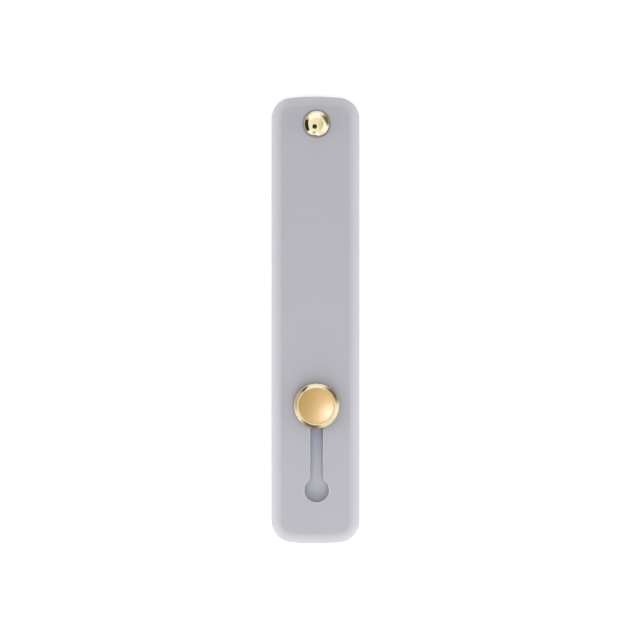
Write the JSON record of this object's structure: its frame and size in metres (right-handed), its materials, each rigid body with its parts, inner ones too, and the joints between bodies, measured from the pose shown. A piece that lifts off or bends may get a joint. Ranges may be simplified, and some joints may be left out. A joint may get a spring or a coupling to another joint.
{
  "type": "stick-on phone finger strap",
  "caption": "Flat silicone band riveted to an adhesive-backed strip; a button in a keyhole slot lets its lower end slide so it bows into a finger loop.",
  "frame": {"origin": "centre of the back face, on the release liner", "axes": "+X across the strap to the right as seen from the front, +Y along it towards the riveted end, +Z out of the front"},
  "size_m": [0.025, 0.1274, 0.0077],
  "materials": {
    "band_silicone": "matte silicone",
    "back_silicone": "matte silicone",
    "foam_tape": "matte foam",
    "liner_film": "smooth coated paper",
    "post_metal": "plain plated",
    "polished_gold": "polished plated",
    "satin_gold": "satin plated face, polished rim"
  },
  "bodies": {
    "base": {"release_liner": "liner_film", "adhesive_pad": "foam_tape", "base_strip": "back_silicone", "rivet_post": "post_metal", "rivet_cap": "polished_gold", "button_post": "post_metal", "button_cap": "satin_gold"},
    "band": {"strap": "band_silicone"}
  },
  "joints": [
    {"name": "band_slide", "type": "slide", "parent": "base", "child": "band", "axis": [0, 1, 0], "range_m": [0, 0.024], "deforming": ["strap"]}
  ]
}
